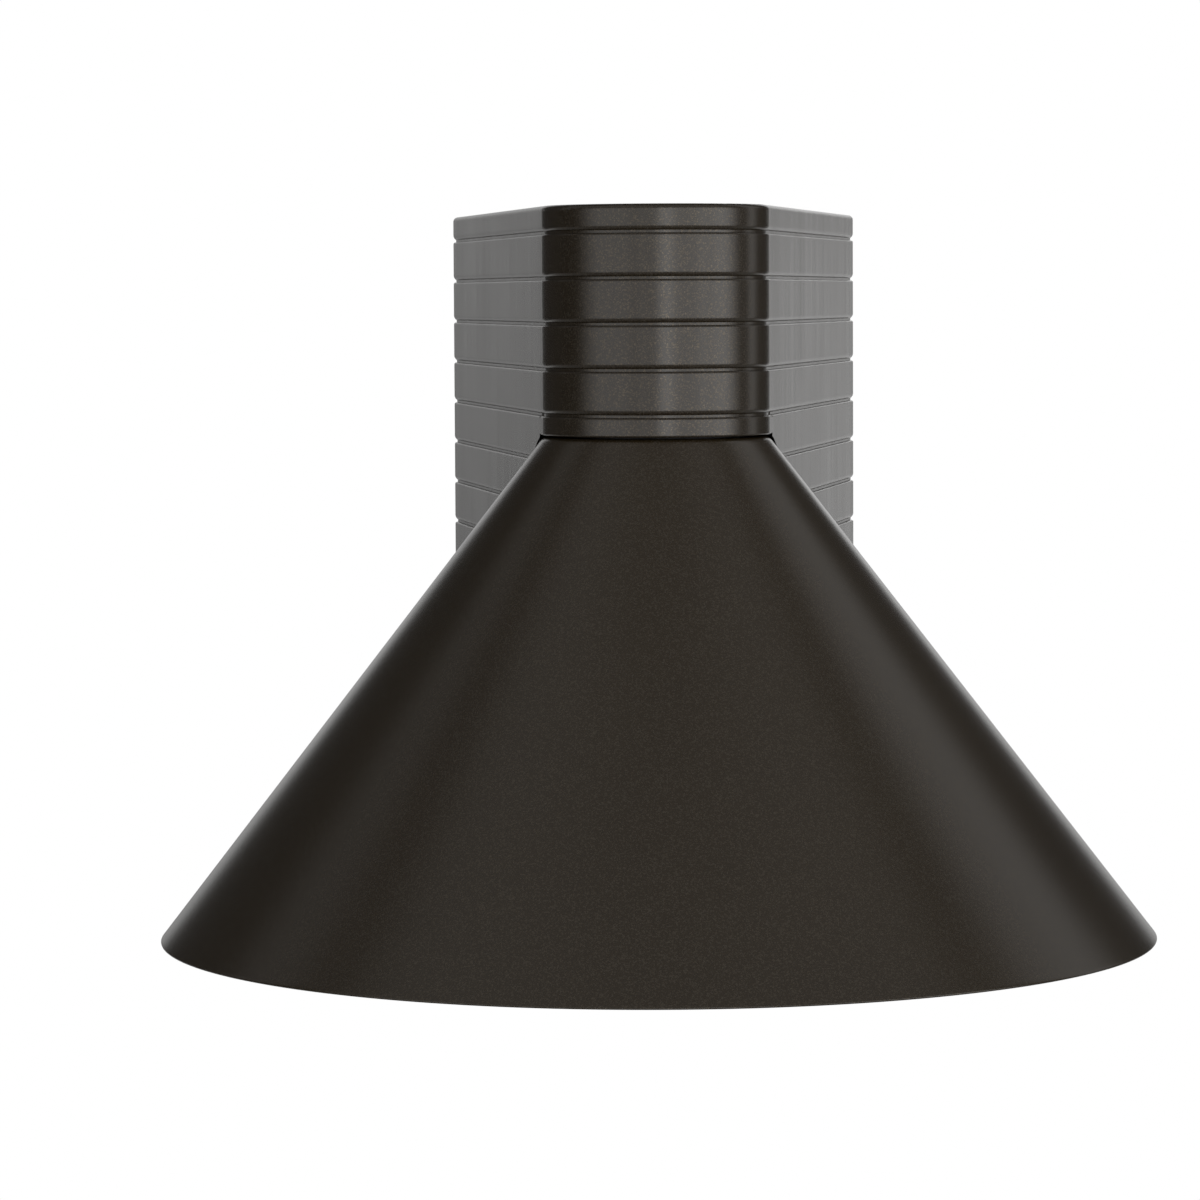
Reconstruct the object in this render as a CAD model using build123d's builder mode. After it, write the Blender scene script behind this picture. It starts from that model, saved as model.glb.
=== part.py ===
from build123d import *
import os
from math import asin, atan, atan2, cos, hypot, radians, sin, tan

os.makedirs("parts", exist_ok=True)

# All lengths are millimetres. The wall is the plane y = 0 and the light stands out from it towards -Y.
# The origin is the middle of the mounting plate's slots, which is the middle of the wall box.

# Housing: a hollow casting, wide at the wall, with a round nose over the shade
housing_height = 141.0
housing_width = 138.0
axis_out = 190.0
nose_radius = 35.0
casting_wall = 3.2
floor_thickness = 4.0
roof_thickness = 4.0
edge_radius = 1.6
rim_width = 10.0
rim_depth = 5.0
space_corner = 6.0
opening_corner = 5.0

# Grooves that divide the housing into level slabs
first_groove_drop = 8.4
groove_pitch = 13.8
least_end_slab = 6.0
groove_depth = 0.9
groove_floor = 0.45
slab_under_radius = 2.0
slab_upper_radius = 0.7

# Shade: a spun cone hung under the nose
shade_below_top = 70.2
shade_height = 153.2
shade_top_radius = 34.3
shade_rim_radius = 152.8
shade_thickness = 1.5
shoulder_radius = 3.0
shade_rim_rounding = 0.4
shade_gap = 0.5
saddle_gap = 0.9
throat_gap = 0.5
nose_edge_radius = 0.7

# Collar that joins the shade to the nose
seat_height = 12.0
collar_radius = 28.0
collar_wall = 3.5
collar_web = 3.0
collar_edge = 0.5
collar_fit = 0.1
seal_width = 2.0
seal_depth = 1.7
seal_drop = 2.6
seal_fit = 0.02
set_screw_groove_count = 5
set_screw_radius = 1.0
set_screw_socket = 0.9
set_screw_socket_depth = 1.0
set_screw_notch = 0.6

# Threaded tube through collar, shade and lampholder
nipple_radius = 4.9
nipple_bore = 3.6
nipple_above_web = 12.7
thread_fit = 0.05
nut_across_flats = 14.0
nut_height = 4.0
lock_washer_radius = 7.5
lock_washer_thickness = 1.5
lock_washer_split = 1.2
ring_tag_radius = 8.0
ring_tag_thickness = 0.8
tag_reach = 13.0
tag_width = 5.0
tag_barrel_radius = 1.9
tag_barrel_height = 7.0
bushing_flange_radius = 5.6
bushing_flange = 1.2
bushing_length = 6.0
bushing_wall = 0.5
bushing_fit = 0.02
shade_washer_radius = 15.0
shade_washer_thickness = 1.5
washer_edge = 0.4

# Lampholder for a medium screw base
cap_radius = 19.5
cap_height = 26.3
cap_wall = 1.6
cap_dome_radius = 6.0
cap_boss_radius = 8.0
cap_boss_height = 8.0
spigot_height = 3.0
spigot_fit = 0.1
body_height = 32.0
body_floor = 8.0
body_mouth_radius = 1.2
shell_radius = 14.0
shell_thickness = 0.4
shell_length = 25.5
shell_eye_radius = 8.0
shell_fit = 0.1
contact_thickness = 0.4
contact_width = 6.0
contact_length = 10.0
contact_drop = 2.0
rivet_radius = 1.0
rivet_head_radius = 1.6
rivet_head = 0.6
terminal_screw_offset = 9.5
terminal_screw_radius = 1.5
terminal_head_radius = 2.8
terminal_head = 2.0
terminal_screw_length = 5.0

# LED bulb with a 26 mm screw cap
bulb_length = 104.0
bulb_radius = 30.0
contact_gap = 0.3
bulb_contact_radius = 4.5
bulb_contact_height = 1.2
insulator_radius = 9.5
insulator_height = 3.2
bulb_cap_radius = 12.9
bulb_cap_length = 20.0
bulb_cap_wall = 0.5
thread_pitch = 3.6
thread_depth = 0.8
thread_turns = 4
neck_top_radius = 14.2
neck_gap = 1.0
neck_lower_radius = 27.0
neck_length = 24.0
neck_wall = 1.4
globe_wall = 1.2
board_radius = 21.0
board_thickness = 1.6
board_fit = 0.05

# Mounting plate: folded steel with hooks above and a tab below
plate_thickness = 2.0
plate_width = 108.0
plate_side_gap = 5.0
plate_corner = 3.0
supply_hole_radius = 11.0
slot_spacing = 79.4
slot_length = 14.0
slot_width = 4.5
hook_spacing = 64.0
hook_width = 16.0
hook_height = 4.0
hook_clearance = 0.3
tab_depth = 22.0
tab_width = 84.0
boss_spacing = 64.0
boss_out = 13.0
boss_radius = 5.5
boss_height = 10.5
housing_screw_radius = 2.5
housing_screw_fit = 0.2
screw_head_radius = 4.6
screw_head_height = 2.6
screw_head_recess = 3.0
screw_drive = 3.0
nut_radius = 4.5
clinch_nut_height = 4.0
gasket_inset = 1.8
gasket_width = 5.0
gasket_thickness = 1.2
ground_screw_x = 22.0
ground_screw_z = -26.0
ground_screw_radius = 2.0
ground_head_radius = 4.2
ground_head_height = 2.4
ground_screw_length = 6.0

# Terminal block on the plate, above the supply hole
block_low = 20.0
block_height = 20.0
block_depth = 16.0
pole_pitch = 10.0
pole_count = 3
block_end = 5.5
block_rounding = 1.0
clamp_radius = 2.3
clamp_bore = 1.6
clamp_length = 17.0
clamp_fit = 0.1
clamp_centre = 8.5
well_radius = 2.2
well_inset = 4.6
block_screw_radius = 1.9
block_screw_sink = 1.5
block_screw_slot = 0.6
block_screw_slot_depth = 0.8
fixing_radius = 1.4
fixing_head_radius = 2.4
fixing_head = 1.6
fixing_hole_fit = 0.1
fixing_web = 6.0

# Leads
lead_radius = 1.05
lead_spacing = 2.4
lead_entry = 5.0
bend_share = 0.45

# Places worked out from the sizes above
top_z = housing_height / 2
bottom_z = -housing_height / 2
half_width = housing_width / 2
side_angle = atan2(half_width, axis_out) - asin(nose_radius / hypot(half_width, axis_out))
shade_top_z = top_z - shade_below_top
nose_bottom_z = shade_top_z + shade_gap
seat_top_z = nose_bottom_z + seat_height
cone_slope = (shade_rim_radius - shade_top_radius) / shade_height
cone_half_angle = atan(cone_slope)
groove_count = int((housing_height - first_groove_drop - least_end_slab) / groove_pitch) + 1
groove_heights = [top_z - first_groove_drop - i * groove_pitch for i in range(groove_count)]
set_screw_z = groove_heights[set_screw_groove_count - 1]
space_inset = groove_depth + casting_wall
web_top_z = shade_top_z + collar_web
shade_axis = Axis((0, -axis_out, 0), (0, 0, 1))
axis_section = Plane(origin=(0, -axis_out, 0), x_dir=(1, 0, 0), z_dir=(0, -1, 0))


def on_axis(height):
    """Level plane centred on the shade's axis."""
    return Plane(origin=(0, -axis_out, height))


def cone_radius(height, clearance):
    """Radius at a height of a cone that stands clear of the shade's outside by clearance."""
    return shade_top_radius + (shade_top_z - height) * cone_slope + clearance / cos(cone_half_angle)


def turned(*points):
    """Solid turned about the shade's axis from points of radius and height."""
    with BuildPart() as solid:
        with BuildSketch(axis_section):
            with BuildLine():
                Polyline(*points, close=True)
            make_face()
        revolve(axis=shade_axis)
    return solid.part


def housing_plan(height, inset=0.0, back=0.0):
    """The housing's outline seen from above, its sides and nose moved in by inset, its back at y = back."""
    radius = nose_radius - inset
    touch_x = radius * cos(side_angle)
    touch_y = -axis_out - radius * sin(side_angle)
    back_x = radius / cos(side_angle) + (axis_out + back) * tan(side_angle)
    with BuildSketch(Plane.XY.offset(height)) as plan:
        with BuildLine():
            Polyline((-touch_x, touch_y), (-back_x, back), (back_x, back), (touch_x, touch_y))
            ThreePointArc((touch_x, touch_y), (0, -axis_out - radius), (-touch_x, touch_y))
        make_face()
    return plan.sketch


def slab(low, high, low_edge, high_edge):
    """One level slab of the housing, rounded along its sides and nose but square at the wall."""
    most_rounding = (high - low) / 3
    with BuildPart() as solid:
        extrude(to_extrude=housing_plan(low), amount=high - low)
        for place, edge in ((0, low_edge), (-1, high_edge)):
            if edge > 0:
                level_face = solid.faces().filter_by(Axis.Z).sort_by(Axis.Z)[place]
                fillet(level_face.edges().sort_by(Axis.Y)[:-1], radius=min(edge, most_rounding))
    return solid.part


def wiring_space():
    """The hollow inside the housing: its back, seat and conical floor follow the outside at wall thickness."""
    low = bottom_z + floor_thickness
    high = top_z - roof_thickness
    seat_radius = cone_radius(seat_top_z, saddle_gap + casting_wall)
    floor_radius = cone_radius(low, saddle_gap + casting_wall)
    with BuildPart() as solid:
        extrude(to_extrude=housing_plan(low, space_inset, -rim_depth), amount=high - low)
        back_corners = solid.edges().filter_by(Axis.Z).sort_by(Axis.Y)[-2:]
        fillet(back_corners, radius=space_corner)
        add(turned((0, low), (floor_radius, low), (seat_radius, seat_top_z), (0, seat_top_z)), mode=Mode.SUBTRACT)
        with BuildSketch(on_axis(low)):
            Circle(nose_radius)
        extrude(amount=seat_top_z - low, mode=Mode.SUBTRACT)
        with BuildSketch(Plane.XY.offset(low)):
            with Locations((-boss_spacing / 2, -boss_out), (boss_spacing / 2, -boss_out)):
                Circle(boss_radius)
        extrude(amount=boss_height, mode=Mode.SUBTRACT)
    return solid.part


# Housing: one sand casting. Its slabs stand proud of a core by the groove depth. Below the nose the
# shade's cone is cut out of it, and above that the nose has a rounded lower edge.
slab_bottoms = [bottom_z] + [height + groove_floor / 2 for height in reversed(groove_heights)]
slab_tops = [height - groove_floor / 2 for height in reversed(groove_heights)] + [top_z]
under_radii = [edge_radius] + [slab_under_radius] * groove_count
upper_radii = [slab_upper_radius] * groove_count + [edge_radius]
nose_edge_top_z = nose_bottom_z + nose_edge_radius
core_low_z = bottom_z + edge_radius
core_high_z = top_z - edge_radius
with BuildPart() as housing:
    extrude(to_extrude=housing_plan(core_low_z, groove_depth), amount=nose_edge_top_z - core_low_z)
    for low, high, under, upper in zip(slab_bottoms, slab_tops, under_radii, upper_radii):
        if high <= nose_bottom_z:
            add(slab(low, high, under, upper))
        elif low < nose_bottom_z:
            add(slab(low, nose_edge_top_z, under, 0))
    notch_radius = cone_radius(bottom_z - edge_radius, saddle_gap)
    throat_radius = nose_radius + throat_gap
    throat_z = shade_top_z - (throat_radius - cone_radius(shade_top_z, saddle_gap)) / cone_slope
    notch = [
        (0, bottom_z - edge_radius),
        (notch_radius, bottom_z - edge_radius),
        (throat_radius, throat_z),
        (throat_radius, nose_edge_top_z),
        (0, nose_edge_top_z),
    ]
    add(turned(*notch), mode=Mode.SUBTRACT)
    nose_core = housing_plan(nose_bottom_z, groove_depth + nose_edge_radius)
    extrude(to_extrude=nose_core, amount=core_high_z - nose_bottom_z)
    extrude(to_extrude=housing_plan(nose_edge_top_z, groove_depth), amount=core_high_z - nose_edge_top_z)
    for low, high, under, upper in zip(slab_bottoms, slab_tops, under_radii, upper_radii):
        if low >= nose_bottom_z:
            add(slab(low, high, under, upper))
        elif high > nose_bottom_z:
            add(slab(nose_bottom_z, high, nose_edge_radius, upper))
    add(wiring_space(), mode=Mode.SUBTRACT)
    opening_width = plate_width + 2 * plate_side_gap
    opening_height = housing_height - 2 * rim_width
    with BuildSketch(Plane.XZ):
        RectangleRounded(opening_width, opening_height, opening_corner)
    extrude(amount=rim_depth, mode=Mode.SUBTRACT)
    gasket_outer_width = housing_width - 2 * gasket_inset
    gasket_outer_height = housing_height - 2 * gasket_inset
    with BuildSketch(Plane.XZ):
        RectangleRounded(gasket_outer_width, gasket_outer_height, opening_corner + gasket_width)
        RectangleRounded(
            gasket_outer_width - 2 * gasket_width,
            gasket_outer_height - 2 * gasket_width,
            opening_corner,
            mode=Mode.SUBTRACT,
        )
    extrude(amount=gasket_thickness, mode=Mode.SUBTRACT)
    with BuildSketch(on_axis(nose_bottom_z)):
        Circle(collar_radius + collar_fit)
    extrude(amount=seat_height, mode=Mode.SUBTRACT)
    with BuildSketch(Plane(origin=(0, -axis_out, set_screw_z), x_dir=(0, 1, 0), z_dir=(1, 0, 0))):
        Circle(set_screw_radius + thread_fit)
    extrude(amount=nose_radius + casting_wall, both=True, mode=Mode.SUBTRACT)
    with BuildSketch(Plane.XY.offset(bottom_z)):
        with Locations((-boss_spacing / 2, -boss_out), (boss_spacing / 2, -boss_out)):
            Circle(housing_screw_radius + housing_screw_fit)
    extrude(amount=floor_thickness + boss_height, mode=Mode.SUBTRACT)
    with BuildSketch(Plane.XY.offset(bottom_z)):
        with Locations((-boss_spacing / 2, -boss_out), (boss_spacing / 2, -boss_out)):
            Circle(screw_head_radius + housing_screw_fit)
    extrude(amount=screw_head_recess, mode=Mode.SUBTRACT)
housing.part.label = "housing"
export_step(housing.part, "parts/housing.step")

# Wall gasket: closed-cell foam ring let into the housing's back edge, flush with the wall
with BuildPart() as wall_gasket:
    with BuildSketch(Plane.XZ):
        RectangleRounded(gasket_outer_width, gasket_outer_height, opening_corner + gasket_width)
        RectangleRounded(
            gasket_outer_width - 2 * gasket_width,
            gasket_outer_height - 2 * gasket_width,
            opening_corner,
            mode=Mode.SUBTRACT,
        )
    extrude(amount=gasket_thickness)
wall_gasket.part.label = "wall_gasket"
export_step(wall_gasket.part, "parts/wall_gasket.step")

# Mounting plate: screwed to the wall box. The housing's back rim hangs over its hooks, and its lower
# tab takes the housing screws.
plate_top = top_z - rim_width
plate_bottom = bottom_z + floor_thickness + boss_height
block_middle_z = block_low + block_height / 2
fixing_places = [(-pole_pitch / 2, block_middle_z), (pole_pitch / 2, block_middle_z)]
with BuildPart() as mounting_plate:
    with BuildSketch(Plane.XZ):
        with Locations((0, (plate_top + plate_bottom) / 2)):
            RectangleRounded(plate_width, plate_top - plate_bottom, plate_corner)
    extrude(amount=plate_thickness)
    with BuildSketch(Plane.XZ):
        Circle(supply_hole_radius)
        with Locations((-slot_spacing / 2, 0), (slot_spacing / 2, 0)):
            SlotOverall(slot_length, slot_width)
        with Locations((ground_screw_x, ground_screw_z)):
            Circle(ground_screw_radius + thread_fit)
        with Locations(*fixing_places):
            Circle(fixing_radius + fixing_hole_fit)
    extrude(amount=plate_thickness, mode=Mode.SUBTRACT)
    for side in (-1, 1):
        hook_plane = Plane(origin=(side * hook_spacing / 2, 0, 0), x_dir=(0, -1, 0), z_dir=(-1, 0, 0))
        hook_out = rim_depth + hook_clearance
        with BuildSketch(hook_plane):
            with BuildLine():
                Polyline(
                    (0, plate_top - plate_thickness),
                    (hook_out + plate_thickness, plate_top - plate_thickness),
                    (hook_out + plate_thickness, plate_top + hook_height),
                    (hook_out, plate_top + hook_height),
                    (hook_out, plate_top),
                    (0, plate_top),
                    close=True,
                )
            make_face()
        extrude(amount=hook_width / 2, both=True)
    with BuildSketch(Plane.XY.offset(plate_bottom)):
        with Locations((0, -tab_depth / 2)):
            Rectangle(tab_width, tab_depth)
        with Locations((-boss_spacing / 2, -boss_out), (boss_spacing / 2, -boss_out)):
            Circle(housing_screw_radius + thread_fit, mode=Mode.SUBTRACT)
    extrude(amount=plate_thickness)
mounting_plate.part.label = "mounting_plate"
export_step(mounting_plate.part, "parts/mounting_plate.step")

# Clinch nuts: pressed on the lower tab, one over each boss
nut_low = plate_bottom + plate_thickness
with BuildPart() as clinch_nuts:
    with BuildSketch(Plane.XY.offset(nut_low)):
        with Locations((-boss_spacing / 2, -boss_out), (boss_spacing / 2, -boss_out)):
            Circle(nut_radius)
            Circle(housing_screw_radius + thread_fit, mode=Mode.SUBTRACT)
    extrude(amount=clinch_nut_height)
clinch_nuts.part.label = "clinch_nuts"
export_step(clinch_nuts.part, "parts/clinch_nuts.step")

# Housing screws: up through the floor and its bosses into the clinch nuts
screw_seat = bottom_z + screw_head_recess
with BuildPart() as housing_screws:
    for side in (-1, 1):
        with BuildSketch(Plane(origin=(side * boss_spacing / 2, -boss_out, screw_seat - screw_head_height))):
            Circle(screw_head_radius)
        extrude(amount=screw_head_height)
        with BuildSketch(Plane(origin=(side * boss_spacing / 2, -boss_out, screw_seat))):
            Circle(housing_screw_radius)
        extrude(amount=nut_low + clinch_nut_height - screw_seat)
        with BuildSketch(Plane(origin=(side * boss_spacing / 2, -boss_out, screw_seat - screw_head_height))):
            RegularPolygon(screw_drive / 2, 6, major_radius=False)
        extrude(amount=screw_head_height / 2, mode=Mode.SUBTRACT)
    head_rims = housing_screws.edges().filter_by(GeomType.CIRCLE).group_by(Axis.Z)[0]
    fillet(head_rims, radius=washer_edge)
housing_screws.part.label = "housing_screws"
export_step(housing_screws.part, "parts/housing_screws.step")

# Ground screw: takes the supply's earth wire on the plate
with BuildPart() as ground_screw:
    head_plane = Plane(
        origin=(ground_screw_x, -plate_thickness, ground_screw_z), x_dir=(1, 0, 0), z_dir=(0, -1, 0)
    )
    with BuildSketch(head_plane):
        RegularPolygon(ground_head_radius, 6)
    extrude(amount=ground_head_height)
    with BuildSketch(head_plane):
        Circle(ground_screw_radius)
    extrude(amount=-plate_thickness)
    with BuildSketch(head_plane.offset(ground_head_height)):
        Rectangle(2 * ground_head_radius, block_screw_slot)
    extrude(amount=-ground_head_height / 2, mode=Mode.SUBTRACT)
ground_screw.part.label = "ground_screw"
export_step(ground_screw.part, "parts/ground_screw.step")

# Terminal block: three poles side by side, wires in from below and above, screws on the front
block_width = (pole_count - 1) * pole_pitch + 2 * block_end
block_front = plate_thickness + block_depth
clamp_y = -plate_thickness - clamp_centre
well_heights = (block_low + well_inset, block_low + block_height - well_inset)
pole_places = [(i - (pole_count - 1) / 2) * pole_pitch for i in range(pole_count)]
with BuildPart() as terminal_block:
    with BuildSketch(Plane.XZ.offset(plate_thickness)):
        with Locations((0, block_middle_z)):
            RectangleRounded(block_width, block_height, block_rounding)
    extrude(amount=block_depth)
    fillet(terminal_block.faces().sort_by(Axis.Y)[0].edges(), radius=block_rounding / 2)
    with BuildSketch(Plane.XY.offset(block_low)):
        with Locations(*[(x, clamp_y) for x in pole_places]):
            Circle(clamp_radius + clamp_fit)
    extrude(amount=block_height, mode=Mode.SUBTRACT)
    with BuildSketch(Plane.XZ.offset(plate_thickness + clamp_centre)):
        with Locations(*[(x, z) for x in pole_places for z in well_heights]):
            Circle(well_radius)
    extrude(amount=block_depth - clamp_centre, mode=Mode.SUBTRACT)
    with BuildSketch(Plane.XZ.offset(plate_thickness)):
        with Locations(*fixing_places):
            Circle(fixing_radius + fixing_hole_fit)
    extrude(amount=block_depth, mode=Mode.SUBTRACT)
    with BuildSketch(Plane.XZ.offset(plate_thickness + fixing_web)):
        with Locations(*fixing_places):
            Circle(fixing_head_radius + fixing_hole_fit)
    extrude(amount=block_depth - fixing_web, mode=Mode.SUBTRACT)
terminal_block.part.label = "terminal_block"
export_step(terminal_block.part, "parts/terminal_block.step")

# Terminal clamps: brass tubes in the block that the wires go into
clamp_low = block_middle_z - clamp_length / 2
with BuildPart() as terminal_clamps:
    with BuildSketch(Plane.XY.offset(clamp_low)):
        with Locations(*[(x, clamp_y) for x in pole_places]):
            Circle(clamp_radius)
            Circle(clamp_bore, mode=Mode.SUBTRACT)
    extrude(amount=clamp_length)
terminal_clamps.part.label = "terminal_clamps"
export_step(terminal_clamps.part, "parts/terminal_clamps.step")

# Terminal screws: slotted grub screws in the block's wells, down on the clamps
with BuildPart() as terminal_screws:
    screw_low = plate_thickness + clamp_centre + clamp_radius
    screw_high = block_front - block_screw_sink
    with BuildSketch(Plane.XZ.offset(screw_low)):
        with Locations(*[(x, z) for x in pole_places for z in well_heights]):
            Circle(block_screw_radius)
    extrude(amount=screw_high - screw_low)
    with BuildSketch(Plane.XZ.offset(screw_high)):
        with Locations(*[(x, z) for x in pole_places for z in well_heights]):
            Rectangle(2 * block_screw_radius, block_screw_slot)
    extrude(amount=-block_screw_slot_depth, mode=Mode.SUBTRACT)
terminal_screws.part.label = "terminal_screws"
export_step(terminal_screws.part, "parts/terminal_screws.step")

# Terminal fixing screws: hold the block to the plate between its poles
with BuildPart() as terminal_fixing_screws:
    with BuildSketch(Plane.XZ):
        with Locations(*fixing_places):
            Circle(fixing_radius)
    extrude(amount=plate_thickness + fixing_web)
    with BuildSketch(Plane.XZ.offset(plate_thickness + fixing_web)):
        with Locations(*fixing_places):
            Circle(fixing_head_radius)
    extrude(amount=fixing_head)
    with BuildSketch(Plane.XZ.offset(plate_thickness + fixing_web + fixing_head)):
        with Locations(*fixing_places):
            Rectangle(2 * fixing_head_radius, block_screw_slot)
    extrude(amount=-fixing_head / 2, mode=Mode.SUBTRACT)
terminal_fixing_screws.part.label = "terminal_fixing_screws"
export_step(terminal_fixing_screws.part, "parts/terminal_fixing_screws.step")

# Shade: sheet metal spun to a cone, with a flat top, a rounded shoulder and a plain rim
shade_rim_z = shade_top_z - shade_height
sheet_across = shade_thickness / cos(cone_half_angle)
with BuildPart() as shade:
    with BuildSketch(axis_section):
        with BuildLine():
            Polyline(
                (nipple_radius + thread_fit, shade_top_z),
                (shade_top_radius, shade_top_z),
                (shade_rim_radius, shade_rim_z),
                (shade_rim_radius - sheet_across, shade_rim_z),
                (cone_radius(shade_top_z - shade_thickness, -shade_thickness), shade_top_z - shade_thickness),
                (nipple_radius + thread_fit, shade_top_z - shade_thickness),
                close=True,
            )
        make_face()
        rim_corners = vertices().sort_by(Axis.Y)[:2]
        fillet(rim_corners, radius=shade_rim_rounding)
        outer_shoulder = vertices().group_by(Axis.Y)[-1].sort_by(Axis.X)[-1]
        fillet(outer_shoulder, radius=shoulder_radius)
    revolve(axis=shade_axis)
shade.part.label = "shade"
export_step(shade.part, "parts/shade.step")

# Shade collar: turned ring on the shade's flat top, grooved for the seal and for the set screws
collar_top_z = seat_top_z
seal_high_z = collar_top_z - seal_drop
seal_low_z = seal_high_z - seal_width
with BuildPart() as shade_collar:
    with BuildSketch(on_axis(shade_top_z)):
        Circle(collar_radius)
        Circle(nipple_radius + thread_fit, mode=Mode.SUBTRACT)
    extrude(amount=collar_top_z - shade_top_z)
    with BuildSketch(on_axis(web_top_z)):
        Circle(collar_radius - collar_wall)
    extrude(amount=collar_top_z - web_top_z, mode=Mode.SUBTRACT)
    with BuildSketch(on_axis(seal_low_z)):
        Circle(collar_radius)
        Circle(collar_radius - seal_depth, mode=Mode.SUBTRACT)
    extrude(amount=seal_width, mode=Mode.SUBTRACT)
    with BuildSketch(on_axis(set_screw_z - set_screw_radius - thread_fit)):
        Circle(collar_radius)
        Circle(collar_radius - set_screw_notch, mode=Mode.SUBTRACT)
    extrude(amount=2 * (set_screw_radius + thread_fit), mode=Mode.SUBTRACT)
    fillet(shade_collar.edges().group_by(Axis.Z)[-1], radius=collar_edge)
shade_collar.part.label = "shade_collar"
export_step(shade_collar.part, "parts/shade_collar.step")

# Collar seal: rubber ring that closes the collar's running gap in the nose
with BuildPart() as collar_seal:
    with BuildSketch(on_axis(seal_low_z)):
        Circle(collar_radius + collar_fit - seal_fit)
        Circle(collar_radius - seal_depth, mode=Mode.SUBTRACT)
    extrude(amount=seal_width)
collar_seal.part.label = "collar_seal"
export_step(collar_seal.part, "parts/collar_seal.step")

# Shade set screws: through the nose from the fifth groove, their tips in the collar's groove
with BuildPart() as shade_set_screws:
    tip_x = collar_radius - set_screw_notch
    head_x = nose_radius / cos(side_angle) - groove_depth
    for side in (-1, 1):
        tip_plane = Plane(
            origin=(side * tip_x, -axis_out, set_screw_z), x_dir=(0, side, 0), z_dir=(side, 0, 0)
        )
        with BuildSketch(tip_plane):
            Circle(set_screw_radius)
        extrude(amount=head_x - tip_x)
        with BuildSketch(tip_plane.offset(head_x - tip_x)):
            RegularPolygon(set_screw_socket / 2, 6, major_radius=False)
        extrude(amount=-set_screw_socket_depth, mode=Mode.SUBTRACT)
shade_set_screws.part.label = "shade_set_screws"
export_step(shade_set_screws.part, "parts/shade_set_screws.step")

# Nipple: threaded tube that clamps collar, shade and lampholder together
holder_top_z = shade_top_z - shade_thickness - shade_washer_thickness
nipple_low_z = holder_top_z - cap_wall - cap_boss_height
nipple_high_z = web_top_z + nipple_above_web
with BuildPart() as nipple:
    with BuildSketch(on_axis(nipple_low_z)):
        Circle(nipple_radius)
        Circle(nipple_bore, mode=Mode.SUBTRACT)
    extrude(amount=nipple_high_z - nipple_low_z)
nipple.part.label = "nipple"
export_step(nipple.part, "parts/nipple.step")

# Ground ring: tag on the collar's web with an upright barrel for the earth lead
tag_top_z = web_top_z + ring_tag_thickness
with BuildPart() as ground_ring:
    with BuildSketch(on_axis(web_top_z)):
        Circle(ring_tag_radius)
        with Locations((0, tag_reach / 2)):
            Rectangle(tag_width, tag_reach)
        with Locations((0, tag_reach)):
            Circle(tag_width / 2)
        Circle(nipple_radius + thread_fit, mode=Mode.SUBTRACT)
    extrude(amount=ring_tag_thickness)
    with BuildSketch(on_axis(tag_top_z)):
        with Locations((0, tag_reach)):
            Circle(tag_barrel_radius)
            Circle(lead_radius, mode=Mode.SUBTRACT)
    extrude(amount=tag_barrel_height)
ground_ring.part.label = "ground_ring"
export_step(ground_ring.part, "parts/ground_ring.step")

# Nipple lock washer: split spring ring between the tag and the nut
with BuildPart() as nipple_lock_washer:
    with BuildSketch(on_axis(tag_top_z)):
        Circle(lock_washer_radius)
        Circle(nipple_radius + thread_fit, mode=Mode.SUBTRACT)
        with Locations((lock_washer_radius / 2, 0)):
            Rectangle(lock_washer_radius, lock_washer_split, mode=Mode.SUBTRACT)
    extrude(amount=lock_washer_thickness)
nipple_lock_washer.part.label = "nipple_lock_washer"
export_step(nipple_lock_washer.part, "parts/nipple_lock_washer.step")

# Nipple nut: hexagon nut above the collar's web
nut_low_z = tag_top_z + lock_washer_thickness
with BuildPart() as nipple_nut:
    with BuildSketch(on_axis(nut_low_z)):
        RegularPolygon(nut_across_flats / 2, 6, major_radius=False)
        Circle(nipple_radius + thread_fit, mode=Mode.SUBTRACT)
    extrude(amount=nut_height)
nipple_nut.part.label = "nipple_nut"
export_step(nipple_nut.part, "parts/nipple_nut.step")

# Nipple bushing: plastic sleeve that keeps the leads off the tube's upper edge
with BuildPart() as nipple_bushing:
    with BuildSketch(on_axis(nipple_high_z)):
        Circle(bushing_flange_radius)
        Circle(nipple_bore - bushing_wall, mode=Mode.SUBTRACT)
    extrude(amount=bushing_flange)
    with BuildSketch(on_axis(nipple_high_z)):
        Circle(nipple_bore - bushing_fit)
        Circle(nipple_bore - bushing_wall, mode=Mode.SUBTRACT)
    extrude(amount=-bushing_length)
nipple_bushing.part.label = "nipple_bushing"
export_step(nipple_bushing.part, "parts/nipple_bushing.step")

# Shade washer: spreads the clamp under the shade's flat top
with BuildPart() as shade_washer:
    with BuildSketch(on_axis(holder_top_z)):
        Circle(shade_washer_radius)
        Circle(nipple_radius + thread_fit, mode=Mode.SUBTRACT)
    extrude(amount=shade_washer_thickness)
    fillet(shade_washer.edges().group_by(Axis.Z)[0].sort_by(SortBy.RADIUS)[-1], radius=washer_edge)
shade_washer.part.label = "shade_washer"
export_step(shade_washer.part, "parts/shade_washer.step")

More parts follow.
